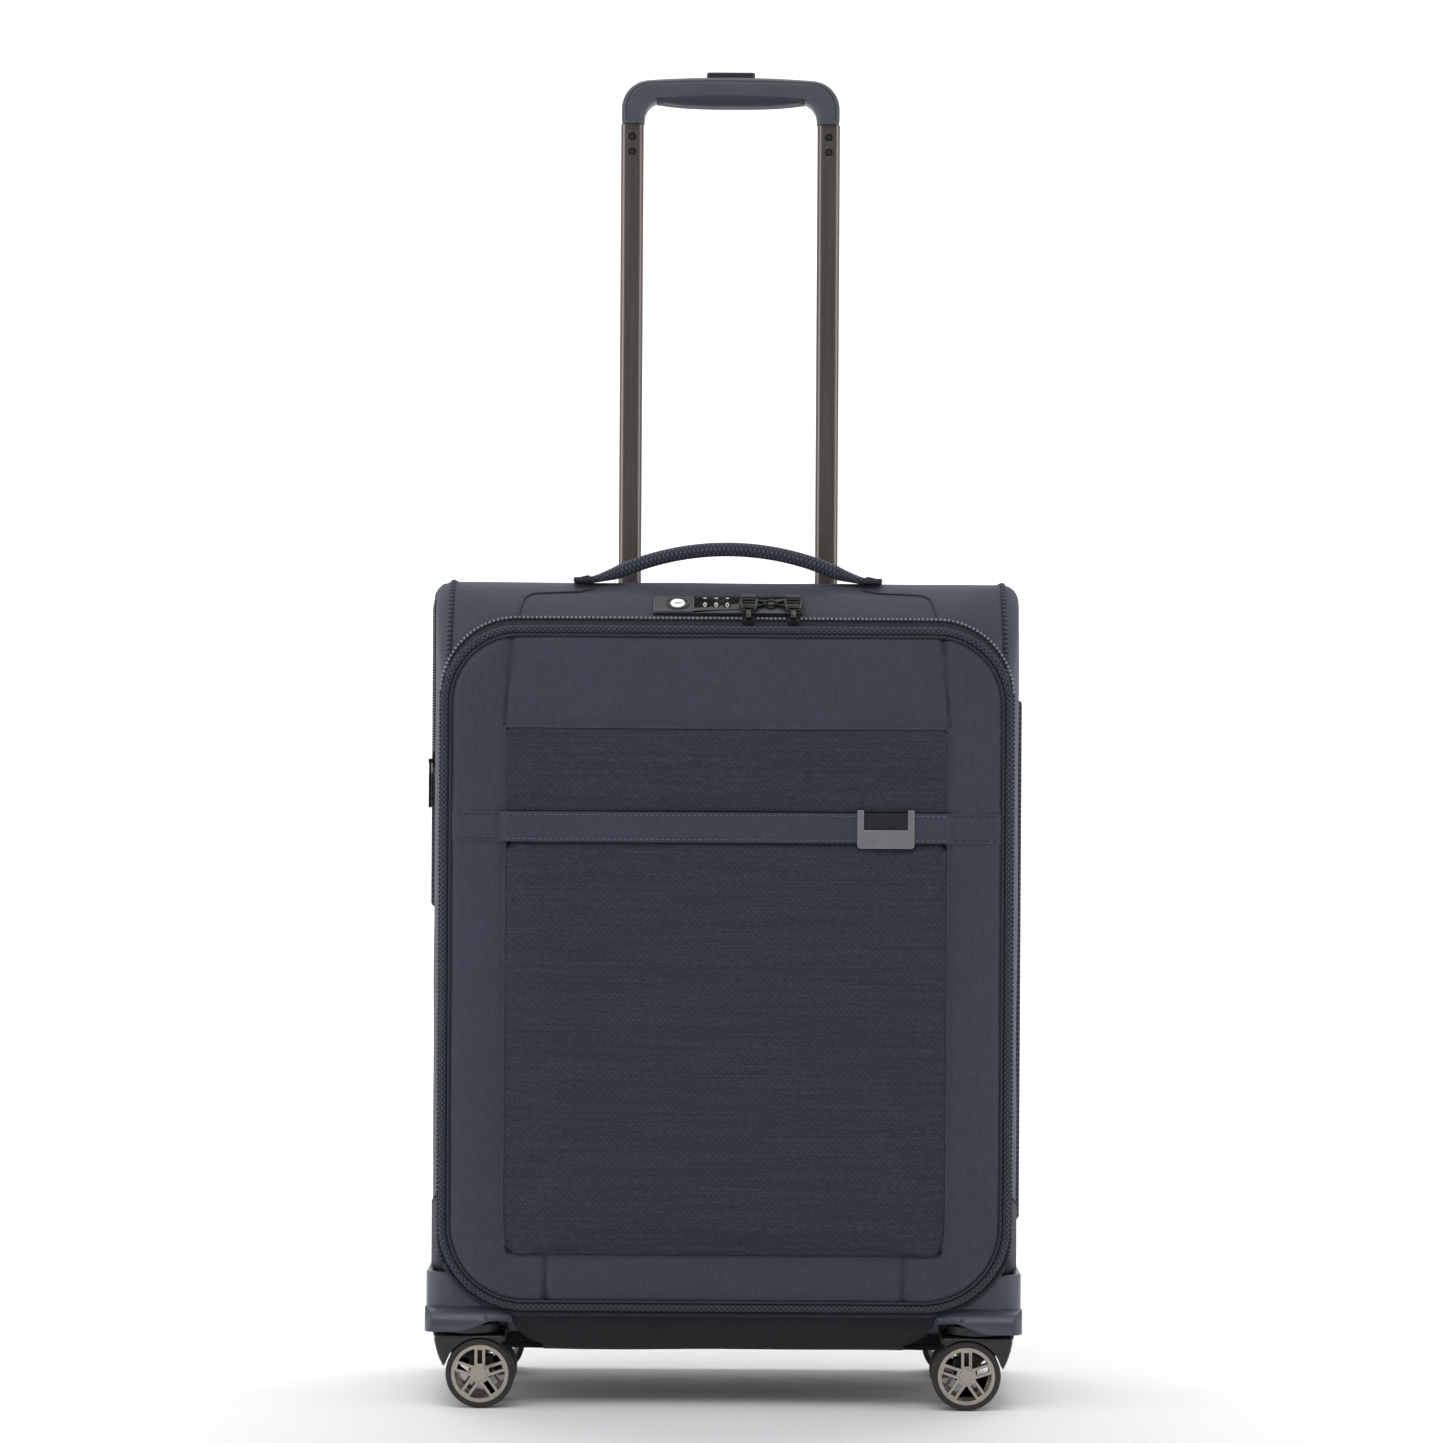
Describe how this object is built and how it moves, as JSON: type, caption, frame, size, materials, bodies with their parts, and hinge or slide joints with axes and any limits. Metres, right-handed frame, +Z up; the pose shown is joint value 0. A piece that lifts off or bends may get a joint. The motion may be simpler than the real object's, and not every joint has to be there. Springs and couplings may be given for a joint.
{
  "type": "wheeled suitcase",
  "caption": "Soft-sided upright cabin suitcase with a zipped front lid, combination lock, telescopic handle, carry handle and swivelling twin-wheel casters.",
  "frame": {"origin": "centre of the bounding box on the floor under the wheels", "axes": "+Z up, +X to the right as seen from the front, -Y towards the lid at the front"},
  "size_m": [0.4037, 0.2006, 0.9136],
  "materials": {
    "panel_fabric": "smooth woven navy polyester",
    "base_fabric": "plain near-black cloth",
    "ribbed_fabric": "fine horizontal ribs",
    "trim": "woven piping",
    "zip": "zip tape and coil",
    "lining_fabric": "thin lining",
    "housing_plastic": "satin",
    "black_plastic": "satin",
    "grip_foam": "soft touch",
    "tube_metal": "dark anodised",
    "lock_body": "satin",
    "dial_plastic": "satin",
    "key_metal": "satin",
    "dark_metal": "gunmetal",
    "pale_metal": "satin",
    "steel": "satin",
    "rim_nickel": "metallised satin nickel",
    "tyre_rubber": "matt"
  },
  "bodies": {
    "case": {"back_panel": "base_fabric", "side_panel_left": "panel_fabric", "side_panel_right": "panel_fabric", "top_panel": "panel_fabric", "bottom_panel": "base_fabric", "body_piping": "trim", "body_zips": "zip", "wheel_housings_front": "housing_plastic", "wheel_housings_rear": "housing_plastic", "swivel_pins": "steel", "handle_bezel": "black_plastic", "outer_tubes": "tube_metal", "tube_foot": "black_plastic", "lining": "lining_fabric", "tie_straps": "base_fabric", "lock_housing": "lock_body", "handle_anchors": "dark_metal"},
    "lid": {"lid_panel": "panel_fabric", "pocket_panels": "ribbed_fabric", "centre_strip": "panel_fabric", "badge_plate": "pale_metal", "badge_insert": "ribbed_fabric", "lid_piping": "trim", "lid_zip_tape": "zip", "lid_mesh_pocket": "lining_fabric"},
    "trolley": {"inner_tubes": "tube_metal", "handle_grip": "black_plastic", "grip_pad": "grip_foam", "grip_screws": "steel"},
    "release": {"release_button": "black_plastic", "latch_rods": "steel"},
    "latches": {"latch_pins": "steel"},
    "dial_1": {"lock_dial_1": "dial_plastic"},
    "dial_2": {"lock_dial_2": "dial_plastic"},
    "dial_3": {"lock_dial_3": "dial_plastic"},
    "key": {"key_cylinder": "key_metal"},
    "lock_release": {"lock_button": "key_metal"},
    "zip_slider_left": {"main_slider_left": "dark_metal"},
    "zip_puller_left": {"main_puller_left": "dark_metal"},
    "zip_slider_right": {"main_slider_right": "dark_metal"},
    "zip_puller_right": {"main_puller_right": "dark_metal"},
    "side_zip_slider": {"side_slider": "dark_metal"},
    "side_zip_puller": {"side_puller": "dark_metal"},
    "carry": {"carry_handle": "panel_fabric"},
    "caster_front_left": {"fork_front_left": "black_plastic", "axle_front_left": "steel"},
    "wheel_front_left": {"rims_front_left": "rim_nickel", "tyres_front_left": "tyre_rubber"},
    "caster_front_right": {"fork_front_right": "black_plastic", "axle_front_right": "steel"},
    "wheel_front_right": {"rims_front_right": "rim_nickel", "tyres_front_right": "tyre_rubber"},
    "caster_rear_left": {"fork_rear_left": "black_plastic", "axle_rear_left": "steel"},
    "wheel_rear_left": {"rims_rear_left": "rim_nickel", "tyres_rear_left": "tyre_rubber"},
    "caster_rear_right": {"fork_rear_right": "black_plastic", "axle_rear_right": "steel"},
    "wheel_rear_right": {"rims_rear_right": "rim_nickel", "tyres_rear_right": "tyre_rubber"}
  },
  "joints": [
    {"name": "lid_hinge", "type": "hinge", "parent": "case", "child": "lid", "pos_m": [-0.1905, -0.0864, 0.293], "axis": [0, 0, -1], "range_deg": [0, 110]},
    {"name": "handle_slide", "type": "slide", "parent": "case", "child": "trolley", "axis": [0, 0, 1], "range_m": [-0.355, 0]},
    {"name": "release_press", "type": "slide", "parent": "trolley", "child": "release", "axis": [0, 0, -1], "range_m": [0, 0.0025], "stiffness_N_per_m": 900, "springref_m": -0.003},
    {"name": "latch_draw", "type": "slide", "parent": "trolley", "child": "latches", "axis": [0, -1, 0], "range_m": [0, 0.0019]},
    {"name": "dial_1_turn", "type": "hinge", "parent": "case", "child": "dial_1", "pos_m": [-0.0153, -0.06635, 0.53238], "axis": [1, 0, 0], "continuous": true},
    {"name": "dial_2_turn", "type": "hinge", "parent": "case", "child": "dial_2", "pos_m": [-0.0078, -0.06635, 0.53238], "axis": [1, 0, 0], "continuous": true},
    {"name": "dial_3_turn", "type": "hinge", "parent": "case", "child": "dial_3", "pos_m": [-0.0003, -0.06635, 0.53238], "axis": [1, 0, 0], "continuous": true},
    {"name": "key_turn", "type": "hinge", "parent": "case", "child": "key", "pos_m": [-0.0336, -0.0687, 0.5355], "axis": [0, -0.6018, 0.7986], "range_deg": [0, 90]},
    {"name": "lock_press", "type": "slide", "parent": "case", "child": "lock_release", "axis": [0, 0.6018, -0.7986], "range_m": [0, 0.0015], "stiffness_N_per_m": 500, "springref_m": -0.002},
    {"name": "left_slider_run", "type": "slide", "parent": "case", "child": "zip_slider_left", "axis": [-1, 0, 0], "range_m": [0, 0.14]},
    {"name": "left_puller_lift", "type": "hinge", "parent": "zip_slider_left", "child": "zip_puller_left", "pos_m": [0.014, -0.086, 0.5275], "axis": [1, 0, 0], "range_deg": [0, 110]},
    {"name": "right_slider_run", "type": "slide", "parent": "case", "child": "zip_slider_right", "axis": [1, 0, 0], "range_m": [0, 0.08]},
    {"name": "right_puller_lift", "type": "hinge", "parent": "zip_slider_right", "child": "zip_puller_right", "pos_m": [0.044, -0.086, 0.5275], "axis": [1, 0, 0], "range_deg": [0, 110]},
    {"name": "side_slider_run", "type": "slide", "parent": "case", "child": "side_zip_slider", "axis": [0, 0, 1], "range_m": [0, 0.08]},
    {"name": "side_puller_swing", "type": "hinge", "parent": "side_zip_slider", "child": "side_zip_puller", "pos_m": [-0.2029, -0.012, 0.4299], "axis": [0, 1, 0], "range_deg": [0, 150]},
    {"name": "carry_handle_lift", "type": "slide", "parent": "case", "child": "carry", "axis": [0, 0, 1], "range_m": [0, 0.01], "stiffness_N_per_m": 300, "springref_m": -0.004},
    {"name": "swivel_front_left", "type": "hinge", "parent": "case", "child": "caster_front_left", "pos_m": [-0.17, -0.074, 0.045], "axis": [0, 0, 1], "continuous": true},
    {"name": "roll_front_left", "type": "hinge", "parent": "caster_front_left", "child": "wheel_front_left", "pos_m": [-0.162, -0.074, 0.023], "axis": [0, 1, 0], "continuous": true},
    {"name": "swivel_front_right", "type": "hinge", "parent": "case", "child": "caster_front_right", "pos_m": [0.17, -0.074, 0.045], "axis": [0, 0, 1], "continuous": true},
    {"name": "roll_front_right", "type": "hinge", "parent": "caster_front_right", "child": "wheel_front_right", "pos_m": [0.162, -0.074, 0.023], "axis": [0, 1, 0], "continuous": true},
    {"name": "swivel_rear_left", "type": "hinge", "parent": "case", "child": "caster_rear_left", "pos_m": [-0.17, 0.074, 0.045], "axis": [0, 0, 1], "continuous": true},
    {"name": "roll_rear_left", "type": "hinge", "parent": "caster_rear_left", "child": "wheel_rear_left", "pos_m": [-0.162, 0.074, 0.023], "axis": [0, 1, 0], "continuous": true},
    {"name": "swivel_rear_right", "type": "hinge", "parent": "case", "child": "caster_rear_right", "pos_m": [0.17, 0.074, 0.045], "axis": [0, 0, 1], "continuous": true},
    {"name": "roll_rear_right", "type": "hinge", "parent": "caster_rear_right", "child": "wheel_rear_right", "pos_m": [0.162, 0.074, 0.023], "axis": [0, 1, 0], "continuous": true}
  ],
  "couplings": [
    {"joint": "latch_draw", "follows": "release_press", "ratio": 0.76}
  ]
}
